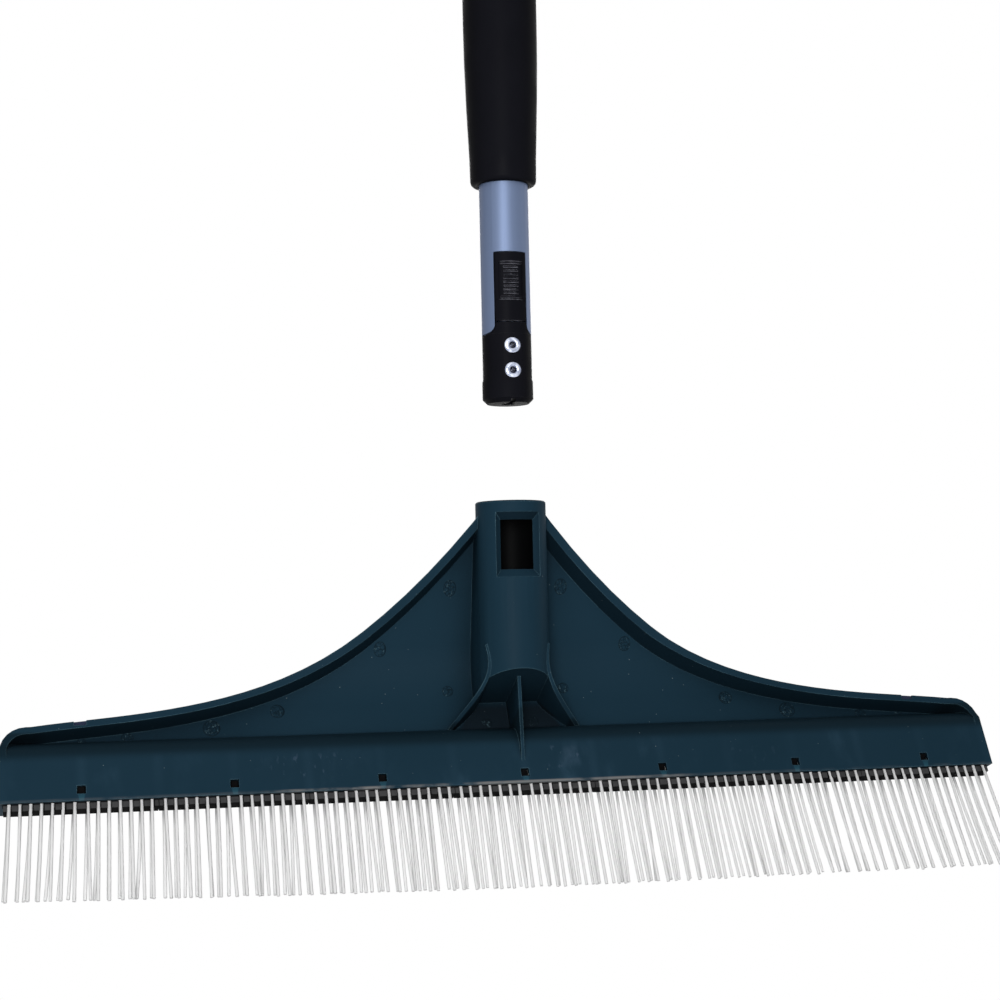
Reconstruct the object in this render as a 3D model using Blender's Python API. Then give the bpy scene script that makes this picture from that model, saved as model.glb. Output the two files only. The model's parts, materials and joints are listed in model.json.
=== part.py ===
"""Hand rake for artificial grass, pulled off its pole.

A moulded head carries two rows of nylon bristles in seven snap-in comb segments. A telescopic pole
ends in a connector with a spring latch, which pushes into the head's socket and clicks into its window.

Metres, +Z up. The pole's axis is the Z axis, and the origin is the hanging hole in the end cap.
The head is drawn in a frame of its own: X along the head, Y from its front face to its back, Z up,
with the middle of the beam's lower front edge at zero. An empty tilts that frame on to the pole.
Heights along the pole are counted from where its axis crosses the plane of the beam's lower edge.
"""

import math

import bmesh
import bpy
from mathutils import Matrix

# Gaps
GAP = 0.0003
LATCH_GAP = 0.0004
HINGE_GAP = 0.0006
SLOT_GAP = 0.00035

# Head: beam, plate and rim
HEAD_LENGTH = 0.450
BEAM_DEPTH = 0.021
BEAM_FACE = 0.020
BEAM_WALL = 0.0022
BEAM_BACK_WALL = 0.0024
END_WALL = 0.0015
BACK_WALL_FOOT = 0.0035
BACK_WALL_SLOPE = 0.008
PLATE_FOOT = 0.031
PLATE_FLOOR = 0.0128
PLATE_THICKNESS = 0.003
RIM_SETBACK = 0.0014
RIM_SETBACK_FOOT = 0.004
RIM_SETBACK_TOP = 0.007
RIM_WALL = 0.0032
RIM_END_WALL = 0.003
RIM_END_HEIGHT = 0.0352
RIM_END_RUN = 0.002
CORNER_RADIUS = 0.011
RIM_TOP = (0.008, 0.1198)
RIM_PULLS = ((0.0906, 0.0361), (0.1598, 0.0419))
BEND_HEIGHT = 0.060
BEND_RADIUS = 0.040
LEAN = math.radians(39.7)
NOTCH_PLACE = 0.1915
NOTCH_WIDTH = 0.0053
NOTCH_FLOOR = 0.0353
NOTCH_DEPTH = 0.0007

# Head: socket, ribs and windows
HEAD_TILT = math.radians(28.1)
SOCKET_FOOT = 0.0212
SOCKET_TOP = 0.1350
SOCKET_WALL = 0.0041
SOCKET_END = 0.0455
SOCKET_CHAMFER = 0.0006
BORE_CONE = 0.0022
SADDLE_TOP = 0.110
SADDLE_INSET = 0.0002
WINDOW_DROP = 0.0086
WINDOW_BEVEL = 0.0026
WINDOW_BEVEL_HEIGHT = 0.0034
WINDOW_BEVEL_DEPTH = 0.0031
RIB_THICKNESS = 0.0015
RIB_FOOT = 0.0103
RIB_FRONT = -0.0135
GUSSET_THICKNESS = 0.0015
GUSSET_PLAN = ((0.0134, 0.0590), (0.0096, 0.0419), (0.0180, 0.0403), (0.0326, 0.0266))
GUSSET_EDGE = ((-0.0191, 0.0590), (-0.0172, 0.0419), (-0.0034, 0.0403), (0.0120, 0.0266))
GUSSET_TRIM = 0.004

# Comb segments and bristles
SEGMENTS = 7
TUFTS = 14
GROUP_GAP = 1.2
COMB_DEPTH = 0.0058
COMB_DROP = 0.0025
COMB_RISE = 0.012
COMB_RAIL_DEPTH = 0.0043
COMB_RAIL_FOOT = 0.006
COMB_ARM = 0.0026
COMB_ARM_STEPS = 5
COMB_SLOT_DEPTH = 0.0018
FILAMENT = 0.0012
BRISTLE_REACH = 0.0438
BRISTLE_BRIDGE = 0.0012
HOOK_WINDOW = 0.0037
HOOK_HEIGHT = 0.005
HOOK_WIDTH = 0.0026
HOOK_REACH = 0.0018
HOOK_TIP = 0.0007
ROW_INSET = 0.0001

# Pole: tubes
TUBE = 0.0225
TUBE_WALL = 0.0012
NECK_WALL = 0.0012
UPPER_TUBE_LENGTH = 0.700
SHOWN_GAP = 0.04475

# Pole: connector, latch and rivets
CONNECTOR_FLANGE = 0.0232
CONNECTOR_CHAMFER = 0.0020
FLANGE_LENGTH = 0.0099
FLANGE_TAPER = 3
TONGUE_ROOT = 0.002
CONNECTOR_WALL = 0.00155
CONNECTOR_FLOOR = 0.0038
CONNECTOR_DRAIN = 0.006
CONNECTOR_NOTCH = 0.0024
SHOULDER = 0.03115
TONGUE_WIDTH = 0.0143
TONGUE_HEIGHT = 0.0369
TONGUE_FILLET = 0.004
TONGUE_SUNK = 0.0001
TONGUE_THICKNESS = 0.0014
HINGE = 0.03645
PAD_HEIGHT = 0.0217
PAD_PROUD = 0.00035
PAD_RECESS_WIDTH = 0.0114
PAD_RECESS_DEPTH = 0.0007
PAD_RECESS_MARGIN = 0.0042
PAD_BAR_WIDTH = 0.010
PAD_RIDGE_WIDTH = 0.0068
PAD_RIDGES = 8
RIVETS = (0.01435, 0.02565)
RIVET_HEAD = 0.0072
RIVET_SHANK = 0.0044
RIVET_HOLE = 0.0025
RIVET_SEAT_DEPTH = 0.001
END_CLEARANCE = 0.0003

# Pole: twist lock, grip and end cap
COLLAR_DROP = 0.1454
COLLAR_LENGTH = 0.100
COLLAR_LOW = 0.0304
COLLAR_HIGH = 0.0342
COLLAR_FLARE = ((0.012, 0.10), (0.036, 0.60), (0.058, 0.92), (0.075, 1.0))
COLLAR_BRIM = 0.001
COLLAR_LIP = 0.003
COLLAR_ROUND = 0.002
COLLAR_TURN_GAP = 0.0004
CLAMP_WALL = 0.0010
FINGER_WALL = 0.0014
CLAMP_FINGERS = 0.028
CLAMP_SLITS = 3
CLAMP_SLIT = 0.0015
CLAMP_SLIT_LENGTH = 0.024
CLAMP_FLANGE = 0.0035
UPPER_TUBE_RISE = 0.0373
BUSH_LENGTH = 0.018
BUSH_FLANGE = 0.004
BUSH_WALL = 0.0015
GRIP_LENGTH = 0.160
GRIP_THICKNESS = 0.0032
GRIP_ROUND = 0.002
GRIP_SWELL = 0.0006
GRIP_TO_CAP = 0.0015
CAP_WALL = 0.0014
CAP_SKIRT = 0.022
CAP_TOP = 0.003
CAP_CHAMFER = 0.0015
TAB_WIDTH = 0.020
TAB_THICKNESS = 0.008
TAB_RISE = 0.012
HANG_HOLE = 0.008

SIDES = 32
SMALL_SIDES = 12
FILAMENT_SIDES = 6
ARC_STEPS = 6
BEND_STEPS = 12
SMOOTH_ANGLE = math.radians(30.5)

# Sizes that follow from those above. A name that ends in RADIUS is half a width, and other round sizes are whole.
HALF_HEAD = HEAD_LENGTH / 2
SEGMENT_PITCH = (HEAD_LENGTH - 2 * END_WALL - GAP) / SEGMENTS
TUFT_PITCH = SEGMENT_PITCH / (TUFTS - 2 + 2 * GROUP_GAP)
GROUP_SHIFT = (GROUP_GAP - 1) / 2 * TUFT_PITCH
COMB_FRONT = BEAM_WALL + GAP
COMB_BACK = COMB_FRONT + COMB_DEPTH
COMB_RAIL_BACK = BEAM_DEPTH - BEAM_BACK_WALL - GAP
COMB_SLOT = FILAMENT + 2 * GAP
FRONT_ROW = COMB_FRONT + COMB_SLOT_DEPTH - GAP - FILAMENT / 2 - ROW_INSET
REAR_ROW = COMB_BACK + LATCH_GAP + FILAMENT / 2
SOCKET_BORE = CONNECTOR_FLANGE + 2 * GAP
SOCKET_RADIUS = SOCKET_BORE / 2 + SOCKET_WALL
WINDOW_WIDTH = TONGUE_WIDTH + 2 * SLOT_GAP
WINDOW_HEIGHT = PAD_HEIGHT + 2 * GAP
WINDOW_CENTRE = SOCKET_TOP - WINDOW_DROP - WINDOW_HEIGHT / 2
CONNECTOR_BORE_RADIUS = TUBE / 2 - CONNECTOR_WALL
NECK_RADIUS = CONNECTOR_BORE_RADIUS - GAP
PAD_TOP = SHOULDER + TONGUE_HEIGHT
PAD_FOOT = PAD_TOP - PAD_HEIGHT
TONGUE_OUTER = TUBE / 2 - TONGUE_SUNK
TONGUE_INNER = TONGUE_OUTER - TONGUE_THICKNESS
PAD_OUTER = TUBE / 2 + PAD_PROUD
RIVET_SEAT = TUBE / 2 - RIVET_SEAT_DEPTH
SEATED_END = WINDOW_CENTRE - (PAD_FOOT + PAD_TOP) / 2
BORE_END = SEATED_END - END_CLEARANCE
CONNECTOR_END = SOCKET_TOP + SHOWN_GAP
UPPER_TUBE = TUBE + 2 * (GAP + TUBE_WALL)
FINGER_RADIUS = TUBE / 2 + GAP + FINGER_WALL
SLEEVE_RADIUS = UPPER_TUBE / 2 + GAP + CLAMP_WALL
COLLAR_FOOT = SOCKET_TOP + COLLAR_DROP
UPPER_TUBE_FOOT = COLLAR_FOOT + UPPER_TUBE_RISE
UPPER_TUBE_TOP = UPPER_TUBE_FOOT + UPPER_TUBE_LENGTH
LOWER_TUBE_TOP = UPPER_TUBE_TOP - BUSH_FLANGE - CONNECTOR_END
HANG_HEIGHT = UPPER_TUBE_TOP + GAP + CAP_TOP + TAB_RISE

CLEAR = 0.005
FAR = 0.1


# Materials

def finish(name, colour, roughness, metallic=0.0):
    """A plain material with this linear colour."""
    material = bpy.data.materials.new(name)
    material.use_nodes = True
    shader = material.node_tree.nodes["Principled BSDF"]
    shader.inputs["Base Color"].default_value = (*colour, 1.0)
    shader.inputs["Roughness"].default_value = roughness
    shader.inputs["Metallic"].default_value = metallic
    return material


def finishes():
    return {
        "head": finish("moulded_teal", (0.0085, 0.0230, 0.0380), 0.45),
        "comb": finish("moulded_black", (0.0060, 0.0060, 0.0065), 0.50),
        "nylon": finish("clear_nylon", (0.72, 0.73, 0.74), 0.30),
        "tube": finish("anodised_tube", (0.205, 0.270, 0.390), 0.35, 0.6),
        "fitting": finish("black_fitting", (0.0050, 0.0050, 0.0060), 0.42),
        "rivet": finish("plated_rivet", (0.78, 0.79, 0.82), 0.20, 1.0),
        "clamp": finish("nylon_clamp", (0.55, 0.55, 0.53), 0.45),
        "foam": finish("grip_foam", (0.0080, 0.0080, 0.0085), 0.90),
    }


# Building blocks

def place(shape, name, parent, material=None):
    """Makes an object of a closed bmesh, with its faces turned outwards and its round parts smooth."""
    bmesh.ops.recalc_face_normals(shape, faces=shape.faces)
    mesh = bpy.data.meshes.new(name)
    shape.to_mesh(mesh)
    shape.free()
    mesh.shade_smooth()
    mesh.set_sharp_from_angle(angle=SMOOTH_ANGLE)
    piece = bpy.data.objects.new(name, mesh)
    piece.parent = parent
    bpy.context.scene.collection.objects.link(piece)
    if material:
        mesh.materials.append(material)
    else:
        piece.hide_render = True
        piece.display_type = "WIRE"
    return piece


def frame(name, parent=None, height=0.0):
    empty = bpy.data.objects.new(name, None)
    empty.parent = parent
    empty.location.z = height
    bpy.context.scene.collection.objects.link(empty)
    return empty


def turned(profile, sides=SIDES):
    """A closed outline of (radius, height) points carried once round Z."""
    shape = bmesh.new()
    rings = []
    for step in range(sides):
        turn = 2 * math.pi * step / sides
        across, along = math.cos(turn), math.sin(turn)
        rings.append([shape.verts.new((r * across, r * along, z)) for r, z in profile])
    for ring, after in zip(rings, rings[1:] + rings[:1]):
        for here in range(len(profile)):
            there = (here + 1) % len(profile)
            shape.faces.new((ring[here], after[here], after[there], ring[there]))
    bmesh.ops.remove_doubles(shape, verts=shape.verts, dist=1e-7)
    return shape


def prism(outline, axis, low, high, shape=None):
    """A flat outline extruded along X, Y or Z from low to high."""
    spots = {
        "X": lambda a, b, depth: (depth, a, b),
        "Y": lambda a, b, depth: (a, depth, b),
        "Z": lambda a, b, depth: (a, b, depth),
    }
    shape = shape or bmesh.new()
    ends = []
    for depth in (low, high):
        ends.append([shape.verts.new(spots[axis](a, b, depth)) for a, b in outline])
    shape.faces.new(ends[0])
    shape.faces.new(ends[1])
    for here in range(len(outline)):
        there = (here + 1) % len(outline)
        shape.faces.new((ends[0][here], ends[0][there], ends[1][there], ends[1][here]))
    return shape


def block(low, high, shape=None):
    """A box between two corners."""
    outline = [(low[0], low[1]), (high[0], low[1]), (high[0], high[1]), (low[0], high[1])]
    return prism(outline, "Z", low[2], high[2], shape)


def round_bar(centre, radius, low, high, sides, shape=None):
    """A straight bar along Z."""
    outline = []
    for step in range(sides):
        turn = 2 * math.pi * step / sides
        outline.append((centre[0] + radius * math.cos(turn), centre[1] + radius * math.sin(turn)))
    return prism(outline, "Z", low, high, shape)


def along_y(shape):
    """Turns a shape that was drawn along Z to lie along Y."""
    bmesh.ops.rotate(shape, verts=shape.verts, matrix=Matrix.Rotation(math.radians(90), 3, "X"))
    return shape


def combine(piece, operation, tool):
    modifier = piece.modifiers.new(tool.name, "BOOLEAN")
    modifier.operation = operation
    modifier.solver = "EXACT"
    modifier.object = tool


def settled(piece):
    """The piece's mesh with its modifiers applied. The piece itself becomes a hidden guide."""
    bpy.context.view_layer.update()
    graph = bpy.context.evaluated_depsgraph_get()
    mesh = bpy.data.meshes.new_from_object(piece.evaluated_get(graph))
    mesh.materials.clear()
    mesh.shade_smooth()
    mesh.set_sharp_from_angle(angle=SMOOTH_ANGLE)
    piece.hide_render = True
    piece.display_type = "WIRE"
    return mesh


def copies(mesh, name, count, pitch, parent, material):
    """Copies that share one mesh, in a centred row along X and counted from the left."""
    mesh.materials.append(material)
    for place_in_row in range(count):
        piece = bpy.data.objects.new(f"{name}_{place_in_row + 1}", mesh)
        piece.parent = parent
        piece.location.x = (place_in_row - (count - 1) / 2) * pitch
        bpy.context.scene.collection.objects.link(piece)


def keep_edges_crisp():
    """Ends each visible piece's modifiers with one that shades smoothly only across shallow edges."""
    tree = bpy.data.node_groups.new("crisp_edges", "GeometryNodeTree")
    tree.interface.new_socket("Geometry", in_out="INPUT", socket_type="NodeSocketGeometry")
    tree.interface.new_socket("Geometry", in_out="OUTPUT", socket_type="NodeSocketGeometry")
    start, end = tree.nodes.new("NodeGroupInput"), tree.nodes.new("NodeGroupOutput")
    angle = tree.nodes.new("GeometryNodeInputMeshEdgeAngle")
    steep = tree.nodes.new("FunctionNodeCompare")
    steep.inputs["B"].default_value = SMOOTH_ANGLE
    shade = tree.nodes.new("GeometryNodeSetShadeSmooth")
    shade.domain = "EDGE"
    shade.inputs["Shade Smooth"].default_value = False
    tree.links.new(angle.outputs["Unsigned Angle"], steep.inputs["A"])
    tree.links.new(steep.outputs["Result"], shade.inputs["Selection"])
    tree.links.new(start.outputs[0], shade.inputs["Geometry"])
    tree.links.new(shade.outputs[0], end.inputs[0])
    for piece in bpy.context.scene.objects:
        if piece.modifiers and not piece.hide_render:
            piece.modifiers.new("crisp_edges", "NODES").node_group = tree


def arc(centre, radii, start, end, steps=ARC_STEPS):
    """Points of an ellipse's arc, with the angles in degrees."""
    points = []
    for step in range(steps + 1):
        turn = math.radians(start + (end - start) * step / steps)
        points.append((centre[0] + radii[0] * math.cos(turn), centre[1] + radii[1] * math.sin(turn)))
    return points


def bezier(points, steps):
    """Points of the cubic curve with these four control points."""
    start, pull_a, pull_b, end = points
    curve = []
    for step in range(steps + 1):
        t = step / steps
        weights = ((1 - t) ** 3, 3 * t * (1 - t) ** 2, 3 * t * t * (1 - t), t ** 3)
        curve.append(tuple(
            sum(w * p[k] for w, p in zip(weights, (start, pull_a, pull_b, end))) for k in (0, 1)
        ))
    return curve


def offset(curve, distance):
    """The curve moved sideways, to the right of its own direction."""
    moved = []
    for here in range(len(curve)):
        before = curve[max(here - 1, 0)]
        after = curve[min(here + 1, len(curve) - 1)]
        run, rise = after[0] - before[0], after[1] - before[1]
        length = math.hypot(run, rise)
        moved.append((curve[here][0] + distance * rise / length, curve[here][1] - distance * run / length))
    return moved


def mirrored(curve):
    return [(-x, z) for x, z in reversed(curve)]


# Head shell

def lean_line(shift, top=SOCKET_TOP + CLEAR):
    """The plate's bent line as (Y, Z): upright, then a round bend, then leaning forwards."""
    centre = (shift - BEND_RADIUS, BEND_HEIGHT - BEND_RADIUS * math.tan(LEAN / 2))
    bend = arc(centre, (BEND_RADIUS, BEND_RADIUS), 0, math.degrees(LEAN), BEND_STEPS)
    last = bend[-1]
    return bend + [(last[0] - (top - last[1]) * math.tan(LEAN), top)]


def beam_top(wall=0.0):
    """The beam's rounded top from its front face back to the plate, as (Y, Z)."""
    radii = (PLATE_FLOOR - wall, PLATE_FOOT - BEAM_FACE - wall)
    return arc((PLATE_FLOOR, BEAM_FACE), radii, 180, 90, BEND_STEPS)


def rim_line(inset):
    """The right half of the rim's top edge as (X, Z), from the middle to the head's end."""
    last = HALF_HEAD - CORNER_RADIUS - RIM_END_RUN
    curve = bezier((RIM_TOP, *RIM_PULLS, (last, RIM_END_HEIGHT)), 2 * BEND_STEPS)
    corner = (HALF_HEAD - CORNER_RADIUS, RIM_END_HEIGHT - CORNER_RADIUS)
    radius = CORNER_RADIUS - inset
    end = arc(corner, (radius + inset - (RIM_END_WALL if inset else 0.0), radius), 90, 0)
    return offset(curve, inset) + end


def pan():
    """The plate, rim and beam as one thick block, whose underside slopes up to the back."""
    back = PLATE_FLOOR + PLATE_THICKNESS
    outline = [(0, 0), (0, BEAM_FACE + RIM_SETBACK_FOOT), (RIM_SETBACK, BEAM_FACE + RIM_SETBACK_TOP)]
    outline += lean_line(RIM_SETBACK) + lean_line(back)[::-1]
    outline += [(back, PLATE_FOOT), (BEAM_DEPTH, PLATE_FOOT - BACK_WALL_SLOPE), (BEAM_DEPTH, BACK_WALL_FOOT)]
    return prism(outline, "X", -HALF_HEAD - CLEAR, HALF_HEAD + CLEAR)


def silhouette(head):
    """The head's outline from the front, as a thick slab."""
    edge = rim_line(0.0) + [(HALF_HEAD, -CLEAR)]
    return place(prism(edge + mirrored(edge), "Y", -FAR, FAR), "cut_silhouette", head)


def pocket(head):
    """The hollow behind the rim, down to the plate and the beam's rounded top."""
    section = [(-FAR, BEAM_FACE), *beam_top(), *lean_line(PLATE_FLOOR)]
    section.append((-FAR, section[-1][1]))
    hollow = place(prism(section, "X", -HALF_HEAD, HALF_HEAD), "cut_pocket", head)
    edge = rim_line(RIM_WALL) + [(HALF_HEAD - RIM_END_WALL, 0)]
    combine(hollow, "INTERSECT", place(prism(edge + mirrored(edge), "Y", -2 * FAR, FAR), "cut_rim", head))
    return hollow


def channel(head):
    """The room for the comb segments, open at the bottom."""
    back = BEAM_DEPTH - BEAM_BACK_WALL
    section = [(BEAM_WALL, -CLEAR), *beam_top(BEAM_WALL), (back, BEAM_FACE + 0.002), (back, -CLEAR)]
    end = HALF_HEAD - END_WALL
    return place(prism(section, "X", -end, end), "cut_channel", head)


def socket(head, pole):
    """The round socket with the saddle that joins it to the plate, cut off level at its lower end."""
    radius = SOCKET_RADIUS
    outside = turned([
        (0, 0), (radius, 0), (radius, SOCKET_TOP - SOCKET_CHAMFER), (radius - SOCKET_CHAMFER, SOCKET_TOP),
        (0, SOCKET_TOP),
    ])
    tube = place(outside, "add_socket", pole)
    slope = math.tan(HEAD_TILT)
    low = SOCKET_END - CLEAR
    plate = PLATE_FLOOR + PLATE_THICKNESS / 2
    section = [(SOCKET_FOOT - low * slope, low), (plate, low), *lean_line(plate, SADDLE_TOP)]
    section.append((SOCKET_FOOT - SADDLE_TOP * slope, SADDLE_TOP))
    side = radius - SADDLE_INSET
    combine(tube, "UNION", place(prism(section, "X", -side, side), "add_saddle", head))
    below = block((-FAR, -FAR, -FAR), (FAR, FAR, SOCKET_END))
    combine(tube, "DIFFERENCE", place(below, "cut_socket_end", head))
    return tube


def rib(head):
    """The upright web under the socket, down over the beam's front face."""
    buried = BEAM_WALL / 2
    back = PLATE_FLOOR + PLATE_THICKNESS / 2
    top = SOCKET_END + buried
    section = [
        (RIB_FRONT, top), (RIB_FRONT, SOCKET_END), (0.0, RIB_FOOT), (buried, RIB_FOOT), (buried, BEAM_FACE),
        (back, PLATE_FOOT - buried), (back, top),
    ]
    half = RIB_THICKNESS / 2
    return place(prism(section, "X", -half, half), "add_rib", head)


def gusset(head, side):
    """One of the two flared walls that carry the socket on the beam."""
    line = bezier(GUSSET_PLAN, 10)
    wall = line + offset(line, -GUSSET_THICKNESS)[::-1]
    wall = [(side * x, z) for x, z in wall]
    name = "left" if side < 0 else "right"
    back = PLATE_FLOOR + PLATE_THICKNESS / 2
    web = place(prism(wall, "Y", -FAR / 2, back), f"add_{name}_gusset", head)
    edge = bezier(GUSSET_EDGE, 10) + [(FAR, GUSSET_EDGE[3][1] - GUSSET_TRIM), (FAR, GUSSET_EDGE[0][1])]
    trim = place(prism(edge, "X", -FAR, FAR), f"cut_{name}_gusset_edge", head)
    combine(web, "INTERSECT", trim)
    return web


def latch_window(pole):
    """The square window for the latch, with bevelled sides that narrow towards the bore."""
    half_width, half_height = WINDOW_WIDTH / 2, WINDOW_HEIGHT / 2
    outer = SOCKET_RADIUS
    inner = SOCKET_RADIUS - WINDOW_BEVEL_DEPTH
    rings = [
        (None, -SOCKET_RADIUS - CLEAR, 1), (outer, 0, 1),
        (inner, 0, 0), (None, -SOCKET_BORE / 4, 0),
    ]
    shape = bmesh.new()
    loops = []
    for radius, depth, widen in rings:
        wide, high = half_width + widen * WINDOW_BEVEL, half_height + widen * WINDOW_BEVEL_HEIGHT
        spots = [(wide * step / 4, high) for step in range(-4, 5)]
        spots += [(wide * step / 4, -high) for step in range(4, -5, -1)]
        loop = []
        for x, z in spots:
            y = depth if radius is None else -math.sqrt(radius ** 2 - x ** 2)
            loop.append(shape.verts.new((x, y, WINDOW_CENTRE + z)))
        loops.append(loop)
    shape.faces.new(loops[0])
    shape.faces.new(loops[-1])
    for loop, after in zip(loops, loops[1:]):
        for here in range(len(loop)):
            there = (here + 1) % len(loop)
            shape.faces.new((loop[here], loop[there], after[there], after[here]))
    bmesh.ops.triangulate(shape, faces=shape.faces)
    return place(shape, "cut_latch_window", pole)


def hook_windows(head):
    """One small window in the beam's face for each comb segment's hook."""
    shape = bmesh.new()
    half = HOOK_WINDOW / 2
    for number in range(SEGMENTS):
        x = (number - (SEGMENTS - 1) / 2) * SEGMENT_PITCH
        block((x - half, -CLEAR, HOOK_HEIGHT - half), (x + half, BEAM_WALL + GAP, HOOK_HEIGHT + half), shape)
    return place(shape, "cut_hook_windows", head)


def rim_notches(head):
    """Shallow notches in the rim's front, open at its top."""
    shape = bmesh.new()
    back = RIM_SETBACK + NOTCH_DEPTH
    for side in (-1, 1):
        low, high = side * NOTCH_PLACE - NOTCH_WIDTH / 2, side * NOTCH_PLACE + NOTCH_WIDTH / 2
        block((low, -CLEAR, NOTCH_FLOOR), (high, back, NOTCH_FLOOR + FAR), shape)
    return place(shape, "cut_rim_notches", head)


def bore(pole):
    """The socket's bore, coned at its end to leave a floor over the sloping lower face."""
    radius, top = SOCKET_BORE / 2, SOCKET_TOP + CLEAR
    shape = turned([
        (0, BORE_END), (radius - BORE_CONE, BORE_END), (radius, BORE_END + BORE_CONE), (radius, top), (0, top),
    ])
    return place(shape, "cut_bore", pole)


def head_shell(head, pole, material):
    shell = place(pan(), "head_shell", head, material)
    combine(shell, "INTERSECT", silhouette(head))
    combine(shell, "DIFFERENCE", pocket(head))
    combine(shell, "UNION", socket(head, pole))
    combine(shell, "UNION", rib(head))
    combine(shell, "UNION", gusset(head, -1))
    combine(shell, "UNION", gusset(head, 1))
    combine(shell, "DIFFERENCE", channel(head))
    combine(shell, "DIFFERENCE", bore(pole))
    combine(shell, "DIFFERENCE", latch_window(pole))
    combine(shell, "DIFFERENCE", hook_windows(head))
    combine(shell, "DIFFERENCE", rim_notches(head))


# Comb segments and bristles

def tuft_places():
    """The tufts' places along a segment, in two groups that stand a little further apart."""
    right = [(number + 0.5) * TUFT_PITCH + GROUP_SHIFT for number in range(TUFTS // 2)]
    return [-x for x in reversed(right)] + right


def comb_segments(head, material):
    """Slotted bars with a back rail, held by a hook in the beam's window."""
    half = SEGMENT_PITCH / 2 - GAP / 2
    comb = [(-half, COMB_BACK), (-half, COMB_FRONT)]
    for x in tuft_places():
        low, high = x - COMB_SLOT / 2, x + COMB_SLOT / 2
        floor = COMB_FRONT + COMB_SLOT_DEPTH
        comb += [(low, COMB_FRONT), (low, floor), (high, floor), (high, COMB_FRONT)]
    comb += [(half, COMB_FRONT), (half, COMB_BACK)]
    bar = place(prism(comb, "Z", -COMB_DROP, COMB_RISE), "guide_comb", head)
    arms = bmesh.new()
    overlap = COMB_DEPTH / 4
    for number in (-1, 0, 1):
        x = number * (COMB_ARM_STEPS * TUFT_PITCH + GROUP_SHIFT)
        block((x - COMB_ARM / 2, COMB_BACK - overlap, COMB_RAIL_FOOT + overlap),
              (x + COMB_ARM / 2, COMB_RAIL_BACK - overlap, COMB_RISE - overlap), arms)
    rail = block((-half, COMB_RAIL_BACK - COMB_RAIL_DEPTH, COMB_RAIL_FOOT), (half, COMB_RAIL_BACK, COMB_RISE))
    combine(bar, "UNION", place(arms, "add_comb_arms", head))
    combine(bar, "UNION", place(rail, "add_comb_rail", head))
    tip = COMB_FRONT - HOOK_REACH
    low, high = HOOK_HEIGHT - HOOK_WINDOW / 2 + GAP, HOOK_HEIGHT + HOOK_WINDOW / 2 - GAP
    root = COMB_FRONT + GAP
    wedge = [(root, low), (COMB_FRONT, low), (tip, high - HOOK_TIP), (tip, high), (root, high)]
    hook = prism(wedge, "X", -HOOK_WIDTH / 2, HOOK_WIDTH / 2)
    combine(bar, "UNION", place(hook, "add_comb_hook", head))
    copies(settled(bar), "comb_segment", SEGMENTS, SEGMENT_PITCH, head, material)


def bristle_sets(head, material):
    """Filaments folded over the comb's bar, with their folds welded into one strip."""
    top = COMB_RISE + GAP + BRISTLE_BRIDGE
    half = SEGMENT_PITCH / 2 - 2 * GAP
    strip = block((-half, FRONT_ROW - FILAMENT / 2, COMB_RISE + GAP), (half, REAR_ROW + FILAMENT / 2, top))
    bridge = place(strip, "guide_bristles", head)
    legs = bmesh.new()
    for x in tuft_places():
        for row in (FRONT_ROW, REAR_ROW):
            inset = BRISTLE_BRIDGE / 2
            round_bar((x, row), FILAMENT / 2, -BRISTLE_REACH, top - inset, FILAMENT_SIDES, legs)
    combine(bridge, "UNION", place(legs, "add_bristle_legs", head))
    copies(settled(bridge), "bristle_set", SEGMENTS, SEGMENT_PITCH, head, material)


# Connector, latch and rivets. Their heights count from the connector's lower end.

def tongue_outline(clear, foot, top):
    """The tongue from the front, with round fillets where it widens into the connector's shoulder."""
    radius = TONGUE_FILLET - clear
    centre = (TONGUE_WIDTH / 2 + TONGUE_FILLET, SHOULDER + TONGUE_FILLET)
    right = [(centre[0], foot)] + arc(centre, (radius, radius), 270, 180)
    right.append((TONGUE_WIDTH / 2 + clear, top))
    return right + mirrored(right)


def wall_piece(name, parent, outline, inner, outer, material=None):
    """The part of a round wall that shows through an outline seen from the front."""
    piece = place(prism(outline, "Y", -2 * outer, -RIVET_HOLE / 2), name, parent, material)
    low, high = min(z for x, z in outline) - CLEAR, max(z for x, z in outline) + CLEAR
    ring = turned([(inner, low), (outer, low), (outer, high), (inner, high)])
    combine(piece, "INTERSECT", place(ring, f"cut_{name}_wall", parent))
    return piece


def cross_holes(name, parent, radius, low, high):
    """Round bars along Y at the rivets' heights."""
    shape = bmesh.new()
    for height in RIVETS:
        round_bar((0, height), radius, -high, -low, SMALL_SIDES, shape)
    return place(along_y(shape), name, parent)


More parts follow.
